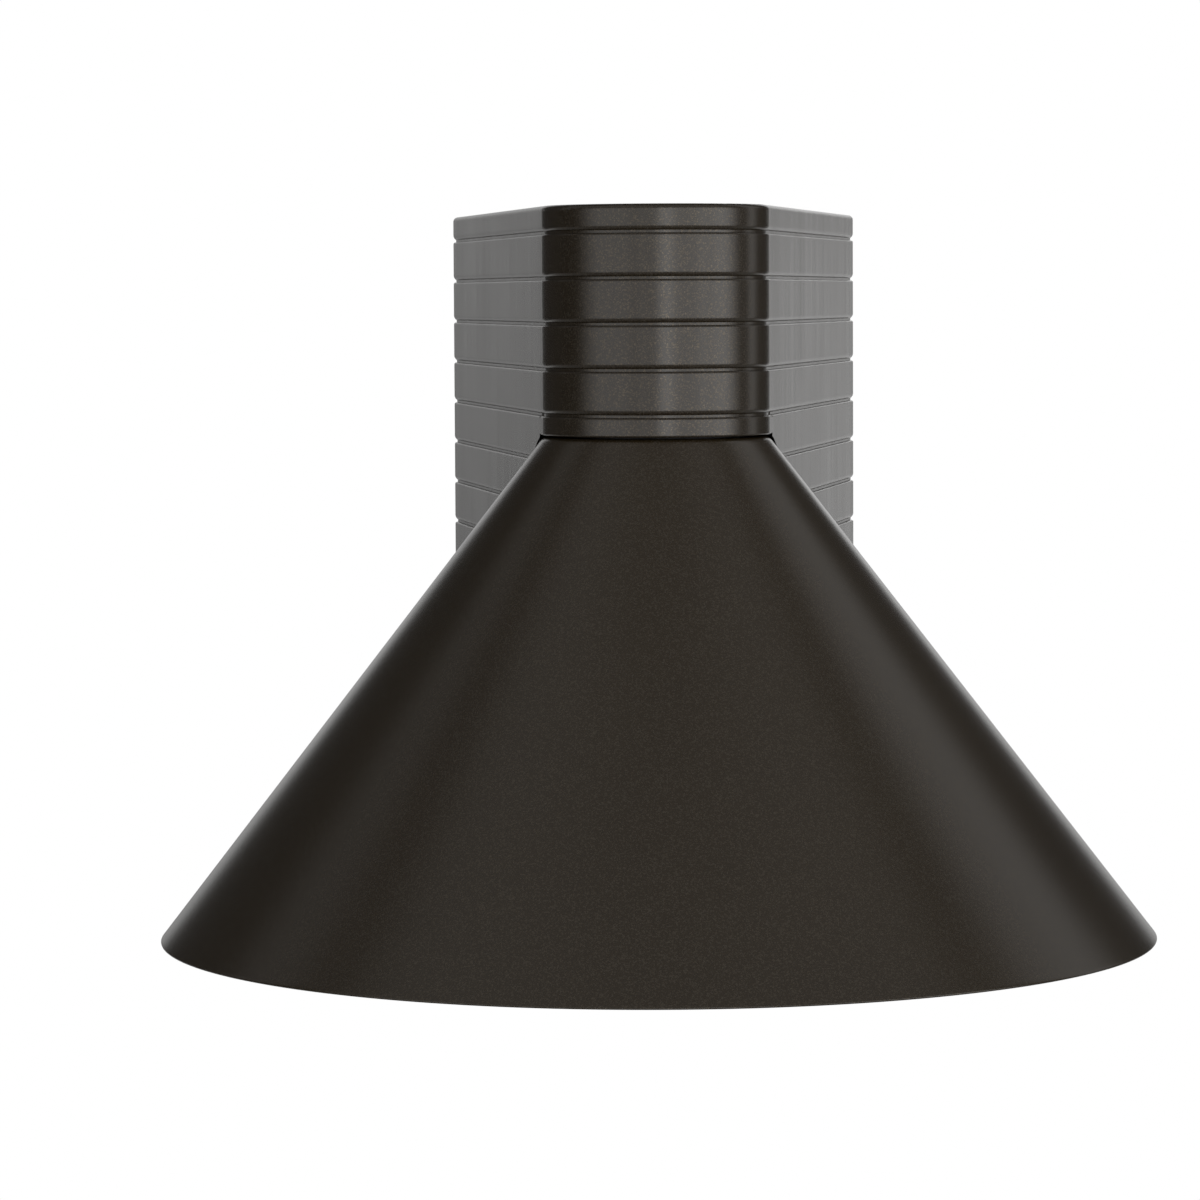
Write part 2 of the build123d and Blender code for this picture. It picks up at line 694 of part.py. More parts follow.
# Socket cap: domed cover of the lampholder with a threaded boss for the nipple
cap_low_z = holder_top_z - cap_height
with BuildPart() as socket_cap:
    with BuildSketch(on_axis(cap_low_z)):
        Circle(cap_radius)
    extrude(amount=cap_height)
    fillet(socket_cap.edges().group_by(Axis.Z)[-1], radius=cap_dome_radius)
    with BuildSketch(on_axis(cap_low_z)):
        Circle(cap_radius - cap_wall)
        Circle(cap_boss_radius, mode=Mode.SUBTRACT)
    extrude(amount=cap_height - cap_wall - cap_dome_radius / 2, mode=Mode.SUBTRACT)
    with BuildSketch(on_axis(cap_low_z)):
        Circle(cap_boss_radius)
    extrude(amount=nipple_low_z - cap_low_z, mode=Mode.SUBTRACT)
    with BuildSketch(on_axis(cap_low_z)):
        Circle(nipple_radius + thread_fit)
    extrude(amount=cap_height, mode=Mode.SUBTRACT)
socket_cap.part.label = "socket_cap"
export_step(socket_cap.part, "parts/socket_cap.step")

# Socket body: glazed porcelain cup for the screw shell, with terminals on its upper face
body_top_z = cap_low_z + spigot_height
body_low_z = cap_low_z - body_height
shell_space_top_z = body_top_z - body_floor
terminal_places = [(-terminal_screw_offset, 0), (terminal_screw_offset, 0)]
with BuildPart() as socket_body:
    with BuildSketch(on_axis(body_low_z)):
        Circle(cap_radius)
    extrude(amount=body_height)
    with BuildSketch(on_axis(cap_low_z)):
        Circle(cap_radius - cap_wall - spigot_fit)
    extrude(amount=spigot_height)
    with BuildSketch(on_axis(body_low_z)):
        Circle(shell_radius + shell_fit)
    extrude(amount=shell_space_top_z - body_low_z, mode=Mode.SUBTRACT)
    mouth = socket_body.edges().filter_by(GeomType.CIRCLE).group_by(Axis.Z)[0]
    fillet(mouth, radius=body_mouth_radius)
    with BuildSketch(on_axis(body_top_z)):
        with Locations(*terminal_places):
            Circle(terminal_screw_radius + thread_fit)
    extrude(amount=-terminal_screw_length, mode=Mode.SUBTRACT)
    with BuildSketch(on_axis(body_top_z)):
        Circle(rivet_radius + thread_fit)
    extrude(amount=-body_floor, mode=Mode.SUBTRACT)
socket_body.part.label = "socket_body"
export_step(socket_body.part, "parts/socket_body.step")

# Socket shell: pressed brass screw shell. Its inner ridges stand clear of the bulb's cap.
shell_low_z = shell_space_top_z - shell_length
with BuildPart() as socket_shell:
    with BuildSketch(on_axis(shell_low_z)):
        Circle(shell_radius)
        Circle(shell_radius - shell_thickness, mode=Mode.SUBTRACT)
    extrude(amount=shell_length)
    with BuildSketch(on_axis(shell_space_top_z)):
        Circle(shell_radius)
        Circle(shell_eye_radius, mode=Mode.SUBTRACT)
    extrude(amount=-shell_thickness)
    for turn in range(thread_turns):
        ridge_z = shell_low_z + (turn + 1) * thread_pitch
        ridge_inner = shell_radius - 2 * shell_thickness
        ridge_half = thread_pitch / 4
        with BuildSketch(axis_section):
            with BuildLine():
                Polyline(
                    (shell_radius - shell_thickness, ridge_z - ridge_half),
                    (shell_radius - shell_thickness, ridge_z + ridge_half),
                    (ridge_inner, ridge_z),
                    close=True,
                )
            make_face()
        revolve(axis=shade_axis)
socket_shell.part.label = "socket_shell"
export_step(socket_shell.part, "parts/socket_shell.step")

# Socket contact: spring leaf under the body's floor, folded down to meet the bulb
leaf_z = shell_space_top_z - contact_thickness
with BuildPart() as socket_contact:
    with BuildSketch(axis_section.offset(-contact_width / 2)):
        with BuildLine():
            Polyline(
                (-contact_length / 2, shell_space_top_z),
                (contact_length / 2, shell_space_top_z),
                (contact_length / 2, leaf_z - contact_drop),
                (-contact_thickness, leaf_z - contact_drop),
                (-contact_thickness, leaf_z - contact_drop + contact_thickness),
                (contact_length / 2 - contact_thickness, leaf_z - contact_drop + contact_thickness),
                (contact_length / 2 - contact_thickness, leaf_z),
                (-contact_length / 2, leaf_z),
                close=True,
            )
        make_face()
    extrude(amount=contact_width)
    with BuildSketch(on_axis(leaf_z)):
        Circle(rivet_radius + thread_fit)
    extrude(amount=contact_thickness, mode=Mode.SUBTRACT)
socket_contact.part.label = "socket_contact"
export_step(socket_contact.part, "parts/socket_contact.step")

# Socket contact rivet: holds the leaf and carries its current to the upper face
with BuildPart() as socket_contact_rivet:
    with BuildSketch(on_axis(leaf_z)):
        Circle(rivet_radius)
    extrude(amount=body_top_z - leaf_z)
    with BuildSketch(on_axis(leaf_z)):
        Circle(rivet_head_radius)
    extrude(amount=-rivet_head)
    with BuildSketch(on_axis(body_top_z)):
        Circle(rivet_head_radius)
    extrude(amount=rivet_head)
socket_contact_rivet.part.label = "socket_contact_rivet"
export_step(socket_contact_rivet.part, "parts/socket_contact_rivet.step")

# Socket terminal screws: on the body's upper face, under the cap
with BuildPart() as socket_terminal_screws:
    with BuildSketch(on_axis(body_top_z)):
        with Locations(*terminal_places):
            Circle(terminal_head_radius)
    extrude(amount=terminal_head)
    with BuildSketch(on_axis(body_top_z + terminal_head)):
        with Locations(*terminal_places):
            Rectangle(block_screw_slot, 2 * terminal_head_radius)
    extrude(amount=-terminal_head / 2, mode=Mode.SUBTRACT)
    with BuildSketch(on_axis(body_top_z)):
        with Locations(*terminal_places):
            Circle(terminal_screw_radius)
    extrude(amount=-terminal_screw_length)
socket_terminal_screws.part.label = "socket_terminal_screws"
export_step(socket_terminal_screws.part, "parts/socket_terminal_screws.step")

# Bulb contact: the button at the end of the cap
bulb_top_z = leaf_z - contact_drop - contact_gap
contact_low_z = bulb_top_z - bulb_contact_height
with BuildPart() as bulb_contact:
    with BuildSketch(on_axis(contact_low_z)):
        Circle(bulb_contact_radius)
    extrude(amount=bulb_contact_height)
    fillet(bulb_contact.edges().group_by(Axis.Z)[-1], radius=bulb_contact_height / 2)
bulb_contact.part.label = "bulb_contact"
export_step(bulb_contact.part, "parts/bulb_contact.step")

# Bulb insulator: black glass cone between the button and the cap's shell
cap_shell_top_z = contact_low_z - insulator_height
with BuildPart() as bulb_insulator:
    with BuildSketch(axis_section):
        with BuildLine():
            Polyline(
                (0, contact_low_z),
                (bulb_contact_radius, contact_low_z),
                (insulator_radius, cap_shell_top_z),
                (0, cap_shell_top_z),
                close=True,
            )
        make_face()
    revolve(axis=shade_axis)
bulb_insulator.part.label = "bulb_insulator"
export_step(bulb_insulator.part, "parts/bulb_insulator.step")

# Bulb cap: plated screw shell with rolled thread ridges
cap_shell_low_z = cap_shell_top_z - bulb_cap_length
root_radius = bulb_cap_radius - thread_depth
with BuildPart() as bulb_cap:
    with BuildSketch(on_axis(cap_shell_low_z)):
        Circle(root_radius)
        Circle(root_radius - bulb_cap_wall, mode=Mode.SUBTRACT)
    extrude(amount=bulb_cap_length)
    with BuildSketch(on_axis(cap_shell_top_z)):
        Circle(root_radius)
        Circle(insulator_radius - bulb_cap_wall, mode=Mode.SUBTRACT)
    extrude(amount=-bulb_cap_wall)
    for turn in range(thread_turns):
        crest_z = cap_shell_top_z - (turn + 1) * thread_pitch
        with BuildSketch(axis_section):
            with BuildLine():
                Polyline((root_radius, crest_z - thread_pitch / 2), (root_radius, crest_z + thread_pitch / 2))
                ThreePointArc(
                    (root_radius, crest_z + thread_pitch / 2),
                    (bulb_cap_radius, crest_z),
                    (root_radius, crest_z - thread_pitch / 2),
                )
            make_face()
        revolve(axis=shade_axis)
bulb_cap.part.label = "bulb_cap"
export_step(bulb_cap.part, "parts/bulb_cap.step")

# Bulb neck: white plastic body that flares from the cap to the globe
neck_top_z = body_low_z - neck_gap
neck_low_z = neck_top_z - neck_length
with BuildPart() as bulb_neck:
    with BuildSketch(axis_section):
        with BuildLine():
            Polyline(
                (root_radius + thread_fit, neck_top_z),
                (neck_top_radius, neck_top_z),
                (neck_lower_radius, neck_low_z),
                (neck_lower_radius - neck_wall, neck_low_z),
                (root_radius + thread_fit, neck_top_z - neck_wall),
                close=True,
            )
        make_face()
    revolve(axis=shade_axis)
bulb_neck.part.label = "bulb_neck"
export_step(bulb_neck.part, "parts/bulb_neck.step")

# Bulb globe: frosted shell below the neck, a short flare that runs into a half ball
bulb_low_z = bulb_top_z - bulb_length
ball_z = bulb_low_z + bulb_radius
globe_inner = bulb_radius - globe_wall
with BuildPart() as bulb_globe:
    with BuildSketch(axis_section):
        with BuildLine():
            Line((neck_lower_radius, neck_low_z), (bulb_radius, ball_z))
            RadiusArc((bulb_radius, ball_z), (0, bulb_low_z), bulb_radius)
            Line((0, bulb_low_z), (0, bulb_low_z + globe_wall))
            RadiusArc((0, bulb_low_z + globe_wall), (globe_inner, ball_z), -globe_inner)
            Line((globe_inner, ball_z), (neck_lower_radius - globe_wall, neck_low_z))
            Line((neck_lower_radius - globe_wall, neck_low_z), (neck_lower_radius, neck_low_z))
        make_face()
    revolve(axis=shade_axis)
bulb_globe.part.label = "bulb_globe"
export_step(bulb_globe.part, "parts/bulb_globe.step")

# Bulb board: the disc that carries the light-emitting diodes, inside the neck's lower end
inner_flare = (neck_lower_radius - neck_wall - root_radius) / (neck_length - neck_wall)
board_z = neck_top_z - neck_wall - (board_radius - root_radius) / inner_flare
with BuildPart() as bulb_board:
    with BuildSketch(on_axis(board_z - board_thickness)):
        Circle(board_radius - board_fit)
    extrude(amount=board_thickness)
bulb_board.part.label = "bulb_board"
export_step(bulb_board.part, "parts/bulb_board.step")


def lead(points):
    """Insulated lead along straight runs joined by arcs as large as the runs allow."""
    corners = [Vector(*point) for point in points]
    radii = []
    for before, corner, after in zip(corners, corners[1:], corners[2:]):
        shorter_run = min((corner - before).length, (after - corner).length)
        turn = radians((corner - before).get_angle(after - corner))
        radii.append(bend_share * shorter_run / tan(turn / 2))
    with BuildPart() as wire:
        with BuildLine() as route:
            FilletPolyline(*points, radius=radii)
        with BuildSketch(Plane(origin=route.line @ 0, z_dir=route.line % 0)):
            Circle(lead_radius)
        sweep()
    print("lead radii", [round(radius, 1) for radius in radii])
    return wire.part


# Leads: from the lampholder's terminals up the nipple, in a slack span back through the housing and
# down into the terminal block. Points are chosen by hand, the ends follow the pieces they meet.
block_top_z = block_low + block_height
lead_end_z = block_top_z - lead_entry
terminal_level = body_top_z + lead_radius
lead_start_x = terminal_screw_offset - terminal_head_radius


def power_lead(side, pole_x):
    """Route of a live or neutral lead on one side of the nipple's axis."""
    bore_x = side * lead_spacing / 2
    return [
        (side * lead_start_x, -axis_out, terminal_level),
        (bore_x, -axis_out, terminal_level),
        (bore_x, -axis_out, nipple_high_z + 18.0),
        (side * 4.0, 20.0 - axis_out, nipple_high_z + 33.0),
        (side * 8.0, -135.0, 42.0),
        (side * 10.0, -98.0, 20.0),
        (side * 12.0, -62.0, 12.0),
        (side * 11.5, -27.0, 26.0),
        (side * 10.5, clamp_y - 14.0, block_top_z + 17.0),
        (pole_x, clamp_y, block_top_z + 17.0),
        (pole_x, clamp_y, lead_end_z),
    ]


with BuildPart() as lead_live:
    add(lead(power_lead(-1, pole_places[0])))
lead_live.part.label = "lead_live"
export_step(lead_live.part, "parts/lead_live.step")

with BuildPart() as lead_neutral:
    add(lead(power_lead(1, pole_places[-1])))
lead_neutral.part.label = "lead_neutral"
export_step(lead_neutral.part, "parts/lead_neutral.step")

with BuildPart() as lead_ground:
    tag_y = tag_reach - axis_out
    add(
        lead(
            [
                (0, tag_y, tag_top_z),
                (0, tag_y, nipple_high_z + 10.0),
                (0.5, tag_y + 17.0, nipple_high_z + 22.0),
                (1.0, -127.0, 30.0),
                (1.0, -94.0, 10.0),
                (0.5, -60.0, 4.0),
                (0.5, -27.5, 22.0),
                (0, clamp_y - 14.0, block_top_z + 16.0),
                (0, clamp_y, block_top_z + 16.0),
                (0, clamp_y, lead_end_z),
            ]
        )
    )
lead_ground.part.label = "lead_ground"
export_step(lead_ground.part, "parts/lead_ground.step")
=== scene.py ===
from math import atan, cos, degrees, pi, radians, sin

import bpy
from mathutils import Matrix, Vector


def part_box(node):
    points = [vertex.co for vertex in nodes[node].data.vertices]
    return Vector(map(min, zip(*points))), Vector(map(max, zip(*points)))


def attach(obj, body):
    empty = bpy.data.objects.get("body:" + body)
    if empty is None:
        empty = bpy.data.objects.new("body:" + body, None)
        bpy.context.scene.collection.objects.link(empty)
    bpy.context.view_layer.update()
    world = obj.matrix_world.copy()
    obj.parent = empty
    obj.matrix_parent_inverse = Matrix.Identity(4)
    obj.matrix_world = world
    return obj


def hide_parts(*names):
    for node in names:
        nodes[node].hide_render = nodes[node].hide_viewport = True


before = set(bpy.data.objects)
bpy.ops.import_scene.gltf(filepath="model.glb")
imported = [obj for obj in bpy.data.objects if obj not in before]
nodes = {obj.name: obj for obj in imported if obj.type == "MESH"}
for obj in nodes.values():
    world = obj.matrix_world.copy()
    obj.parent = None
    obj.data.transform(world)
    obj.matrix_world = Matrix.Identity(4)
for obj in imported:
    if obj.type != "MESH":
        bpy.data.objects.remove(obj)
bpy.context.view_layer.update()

scene = bpy.context.scene

# Viewpoint: the light is seen straight from the front by a long lens, from a little above the middle of
# the housing, so that the shade's rim shows as a shallow bow. The camera turns down and aside by a few
# degrees in place of a lens shift.
camera_place = (-0.0057, -1.6058, 0.0428)
camera_lens = 139.0
camera_down = radians(3.742)
camera_left = radians(0.474)
camera_roll = radians(-0.300)
camera = bpy.data.objects.new("camera", bpy.data.cameras.new("camera"))
scene.collection.objects.link(camera)
camera.data.lens = camera_lens
camera.data.clip_start = 0.05
camera.matrix_world = (
    Matrix.Translation(camera_place)
    @ Matrix.Rotation(camera_left, 4, "Z")
    @ Matrix.Rotation(pi / 2 - camera_down, 4, "X")
    @ Matrix.Rotation(camera_roll, 4, "Z")
)
scene.camera = camera
scene.view_settings.view_transform = "Standard"

# Studio floor: a round sheet of pale paper a little below the light, bright enough for a soft shadow.
# Towards its edge it turns as white as the surroundings, and from below it is clear.
floor_height = -0.42
floor_radius = 1.4
floor_sides = 96
floor_white = (0.72, 0.72, 0.71, 1.0)
shadow_reach = 0.32
nearby_lift = 0.55
mirrored_white = 0.6
mirror_start = 0.5
mirror_fade = 0.3


class Signal:
    """A node's output that takes part in sums written as plain expressions."""

    def __init__(self, sheet, socket):
        self.sheet = sheet
        self.socket = socket

    def worked(self, operation, first, second=0.0):
        return self.sheet.node("ShaderNodeMath", {"operation": operation}, {0: first, 1: second})

    def __add__(self, other):
        return self.worked("ADD", self, other)

    def __radd__(self, other):
        return self.worked("ADD", other, self)

    def __sub__(self, other):
        return self.worked("SUBTRACT", self, other)

    def __rsub__(self, other):
        return self.worked("SUBTRACT", other, self)

    def __mul__(self, other):
        return self.worked("MULTIPLY", self, other)

    def __rmul__(self, other):
        return self.worked("MULTIPLY", other, self)

    def __truediv__(self, other):
        return self.worked("DIVIDE", self, other)

    def held(self):
        """The same signal kept between 0 and 1."""
        held = self.worked("ADD", self)
        held.socket.node.use_clamp = True
        return held


class Sheet:
    """A node tree, of a material, of the world or of a shape."""

    def __init__(self, tree):
        self.tree = tree
        self.tree.nodes.clear()

    def node(self, kind, settings=None, inputs=None, output=0):
        """Adds a node: its settings first, then the values or links of its sockets."""
        made = self.tree.nodes.new(kind)
        for name, value in (settings or {}).items():
            setattr(made, name, value)
        for key, value in (inputs or {}).items():
            if isinstance(value, Signal):
                self.tree.links.new(value.socket, made.inputs[key])
            else:
                made.inputs[key].default_value = value
        return Signal(self, made.outputs[output]) if made.outputs else None

    def blend(self, factor, first, second):
        """Mixes two colours."""
        settings = {"data_type": "RGBA"}
        return self.node("ShaderNodeMix", settings, {"Factor": factor, "A": first, "B": second}, 2)

    def vector(self, operation, first, second, output=0):
        """Vector arithmetic."""
        return self.node("ShaderNodeVectorMath", {"operation": operation}, {0: first, 1: second}, output)

    def along(self, point, axis):
        """One part, X, Y or Z, of a vector."""
        return self.node("ShaderNodeSeparateXYZ", None, {0: point}, axis)

    def place(self):
        """The point on the piece, in metres."""
        return self.node("ShaderNodeTexCoord", output="Object")


def surface_sheet(owner):
    """The emptied node tree of a material or a world."""
    owner.use_nodes = True
    return Sheet(owner.node_tree)


bpy.ops.mesh.primitive_circle_add(vertices=floor_sides, radius=floor_radius, fill_type="NGON")
floor = bpy.context.object
floor.name = "floor"
floor.location = (0, 0, floor_height)
floor.data.materials.append(bpy.data.materials.new("floor_paper"))
paper = surface_sheet(floor.data.materials[0])
seen = paper.node("ShaderNodeLightPath") + paper.node("ShaderNodeLightPath", output="Is Transmission Ray")
mirrored = paper.node("ShaderNodeLightPath", output="Is Glossy Ray")
spot = paper.place()
from_middle = paper.vector("LENGTH", spot, (0, 0, 0), "Value")
far = ((from_middle - shadow_reach) / shadow_reach).held()
behind = ((paper.along(spot, "Y") - mirror_start) / mirror_fade).held()
matt = paper.node("ShaderNodeBsdfDiffuse", None, {"Color": floor_white})
white = paper.node("ShaderNodeEmission", None, {"Color": (1, 1, 1, 1), "Strength": 1.0})
whitened = (seen * (nearby_lift + (1.0 - nearby_lift) * far) + mirrored_white * mirrored * behind).held()
front = paper.node("ShaderNodeMixShader", None, {0: whitened, 1: matt, 2: white})
below = paper.node("ShaderNodeNewGeometry", output="Backfacing")
clear = paper.node("ShaderNodeBsdfTransparent")
surface = paper.node("ShaderNodeMixShader", None, {0: below, 1: front, 2: clear})
paper.node("ShaderNodeOutputMaterial", None, {"Surface": surface})

# Studio light: broad soft panels round the camera's side, a narrow brighter strip a little right of it,
# dark gaps at both sides, slim rim panels, a dim ceiling and the white wall of the studio behind.
room_level = 0.05
ceiling_level = 0.13
ceiling_start = 66.0
ceiling_fade = 10.0
scene.world = bpy.data.worlds.new("studio")
air = surface_sheet(scene.world)
heading = air.node("ShaderNodeTexCoord", output="Generated")
rightward = air.along(heading, "X")
frontward = 0.0 - air.along(heading, "Y")
turn = air.node("ShaderNodeMath", {"operation": "ARCTAN2"}, {0: rightward, 1: frontward}) * degrees(1)
rise = air.node("ShaderNodeMath", {"operation": "ARCSINE"}, {0: air.along(heading, "Z")}) * degrees(1)


def panel(left, right, low, high, edge, brightness):
    """Light of one soft panel. 0 is the camera's side, 90 the right; edge is the width of its fading rim."""
    across = ((turn - left) / edge + 0.5).held() * ((right - turn) / edge + 0.5).held()
    upright = ((rise - low) / edge + 0.5).held() * ((high - rise) / edge + 0.5).held()
    return across * upright * brightness


light = room_level + panel(left=-72, right=-17, low=-30, high=20, edge=22, brightness=1.30)
light = light + panel(left=-17, right=3, low=-30, high=20, edge=6, brightness=0.91)
light = light + panel(left=3, right=18, low=-30, high=20, edge=5, brightness=2.82)
light = light + panel(left=18, right=36, low=-30, high=20, edge=6, brightness=1.60)
light = light + panel(left=36, right=52, low=-30, high=20, edge=8, brightness=1.80)
light = light + panel(left=52, right=84, low=-30, high=20, edge=18, brightness=2.51)
light = light + panel(left=106, right=119, low=-30, high=14, edge=7, brightness=0.77)
light = light + panel(left=107, right=133, low=14, high=54, edge=8, brightness=0.57)
light = light + panel(left=-124, right=-106, low=16, high=54, edge=8, brightness=0.26)
light = light + panel(left=-190, right=-157.5, low=-90, high=-1, edge=5, brightness=0.40)
light = light + panel(left=157.5, right=190, low=-90, high=3, edge=5, brightness=0.74)
light = light + panel(left=-190, right=-160, low=-1, high=32, edge=5, brightness=0.71)
light = light + panel(left=162, right=190, low=3, high=32, edge=4, brightness=1.20)
light = light + panel(left=-95, right=95, low=32, high=72, edge=14, brightness=0.41)
light = light + ceiling_level * ((rise - ceiling_start) / ceiling_fade).held()
through_glass = air.node("ShaderNodeLightPath", output="Is Transmission Ray")
seen = (air.node("ShaderNodeLightPath") + through_glass).held()
strength = light * (1.0 - seen) + seen
sky = air.node("ShaderNodeBackground", None, {"Color": (1, 1, 1, 1), "Strength": strength})
air.node("ShaderNodeOutputWorld", None, {"Surface": sky})

# Housing: one sand casting in aluminium, ground smooth and powder coated dark bronze. The coat is satin,
# with a fine metallic flake in it, and its broad sides keep faint upright streaks from the grinding.
housing_low, housing_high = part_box("housing")
housing_bronze_dark = (0.0160, 0.0108, 0.0056, 1.0)
housing_bronze_light = (0.0206, 0.0149, 0.0084, 1.0)
flake_colour = (0.0850, 0.0720, 0.0560, 1.0)
flake_size = 0.00034
flake_share = 0.35
flake_metal = 0.80
cloud_scale = 28.0
peel_scale = 620.0
streak_stretch = (200.0, 200.0, 8.0)
streak_end = 0.0016
bronze_roughness = 0.24
cloud_gloss = 0.03
housing_streaks = 0.07


def finished(sheet, inputs):
    """Ends a material in a Principled surface."""
    shader = sheet.node("ShaderNodeBsdfPrincipled", None, inputs)
    sheet.node("ShaderNodeOutputMaterial", None, {"Surface": shader})


def bronze_coat(name, dark_tone, light_tone, streaks):
    """Dark bronze satin powder coat with metallic flake, a faint orange peel and upright streaks."""
    material = bpy.data.materials.new(name)
    coat = surface_sheet(material)
    place = coat.place()
    cells = coat.node("ShaderNodeTexVoronoi", None, {"Vector": place, "Scale": 1 / flake_size}, "Color")
    chance = coat.node("ShaderNodeSeparateColor", None, {0: cells})
    flake = ((chance - (1.0 - flake_share)) / flake_share).held()
    cloud = coat.node("ShaderNodeTexNoise", None, {"Vector": place, "Scale": cloud_scale, "Detail": 4.0})
    peel = coat.node("ShaderNodeTexNoise", None, {"Vector": place, "Scale": peel_scale, "Detail": 2.0})
    stretched = coat.vector("MULTIPLY", place, streak_stretch)
    streak = coat.node("ShaderNodeTexNoise", None, {"Vector": stretched, "Scale": 1.0, "Detail": 3.0})
    height = coat.along(place, "Z")
    below_top = ((housing_high[2] - height) / streak_end).held()
    above_floor = ((height - housing_low[2]) / streak_end).held()
    ground = coat.blend(cloud, dark_tone, light_tone)
    colour = coat.blend(flake, ground, flake_colour)
    normal = coat.node("ShaderNodeBump", None, {"Strength": 0.08, "Distance": 0.0002, "Height": peel})
    marks = streaks * (streak - 0.5) * below_top * above_floor
    gloss = bronze_roughness + cloud_gloss * (cloud - 0.5) + marks
    inputs = {"Base Color": colour, "Roughness": gloss, "Metallic": flake * flake_metal, "Normal": normal}
    finished(coat, inputs)
    return material


def dress(node, material):
    """Gives a carried-over piece its finish."""
    nodes[node].data.materials.clear()
    nodes[node].data.materials.append(material)


dress("housing", bronze_coat("housing_bronze", housing_bronze_dark, housing_bronze_light, housing_streaks))

# Shade: a disc of aluminium spun over a cone former, with a flat top, a rounded shoulder and a plain
# rounded rim. It is powder coated like the housing outside, and matt white inside to throw light down.
shade_low, shade_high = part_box("shade")
axis_y = (shade_low[1] + shade_high[1]) / 2
shade_top = shade_high[2]
shade_rim = shade_low[2]
shade_top_radius = 0.0343
rim_radius = 0.15275
shade_wall = 0.0015
shade_bore = 0.00495
shoulder_radius = 0.0030
rim_rounding = 0.0004
shade_steps = 256
smooth_below = radians(38)
inward_facing = -0.05
never_lined = 9.0
shade_bronze_dark = (0.0170, 0.0104, 0.0038, 1.0)
shade_bronze_light = (0.0218, 0.0144, 0.0060, 1.0)
lining_white = (0.80, 0.79, 0.765, 1.0)
lining_grey = (0.70, 0.69, 0.66, 1.0)


def turned_tree():
    """Geometry nodes that turn an outline of radius and height about an upright axis, with a thread."""
    tree = bpy.data.node_groups.new("turned", "GeometryNodeTree")
    kinds = {
        "Outline": "Geometry",
        "Steps": "Int",
        "Axis": "Vector",
        "Thread From Radius": "Float",
        "Thread Low": "Float",
        "Thread High": "Float",
        "Thread Pitch": "Float",
        "Thread Height": "Float",
        "Finish": "Material",
        "Lining": "Material",
        "Lining Above": "Float",
    }
    for name, kind in kinds.items():
        tree.interface.new_socket(name, in_out="INPUT", socket_type="NodeSocket" + kind)
    tree.interface.new_socket("Shape", in_out="OUTPUT", socket_type="NodeSocketGeometry")
    lathe = Sheet(tree)
    given = {name: lathe.node("NodeGroupInput", output=name) for name in kinds}
    moved = {"Geometry": given["Outline"], "Translation": (-1, 0, 0), "Scale": (1, -1, 1)}
    profile = lathe.node("GeometryNodeTransform", None, moved)
    ring = lathe.node("GeometryNodeCurvePrimitiveCircle", None, {"Resolution": given["Steps"], "Radius": 1.0})
    skin = lathe.node("GeometryNodeCurveToMesh", None, {"Curve": ring, "Profile Curve": profile})
    point = lathe.node("GeometryNodeInputPosition")
    x, y, z = (lathe.along(point, axis) for axis in "XYZ")
    level = lathe.node("ShaderNodeCombineXYZ", None, {"X": x, "Y": y})
    radius = lathe.vector("LENGTH", level, (0, 0, 0), "Value")
    around = lathe.node("ShaderNodeMath", {"operation": "ARCTAN2"}, {0: y, 1: x})
    climb = 2 * pi * z / given["Thread Pitch"] - around
    wave = 0.5 - 0.5 * lathe.node("ShaderNodeMath", {"operation": "COSINE"}, {0: climb})
    starting = ((z - given["Thread Low"]) / given["Thread Pitch"]).held()
    ending = ((given["Thread High"] - z) / given["Thread Pitch"]).held()
    outer = radius.worked("GREATER_THAN", radius, given["Thread From Radius"])
    ridge = wave * starting * ending * outer * given["Thread Height"]
    outward = lathe.vector("NORMALIZE", level, (0, 0, 0))
    shift = lathe.node("ShaderNodeVectorMath", {"operation": "SCALE"}, {0: outward, "Scale": ridge})
    threaded = lathe.node("GeometryNodeSetPosition", None, {"Geometry": skin, "Offset": shift})
    placed = lathe.node("GeometryNodeTransform", None, {"Geometry": threaded, "Translation": given["Axis"]})
    facing = lathe.along(lathe.node("GeometryNodeInputNormal"), "Z")
    high_up = z.worked("GREATER_THAN", z, given["Lining Above"])
    inside = facing.worked("LESS_THAN", facing, inward_facing) * high_up
    real = lathe.node("GeometryNodeRealizeInstances", None, {"Geometry": placed})
    coated = lathe.node("GeometryNodeSetMaterial", None, {"Geometry": real, "Material": given["Finish"]})
    lined = {"Geometry": coated, "Selection": inside, "Material": given["Lining"]}
    shape = lathe.node("GeometryNodeSetMaterial", None, lined)
    lathe.node("NodeGroupOutput", None, {"Shape": shape})
    return tree


turned_shape = turned_tree()


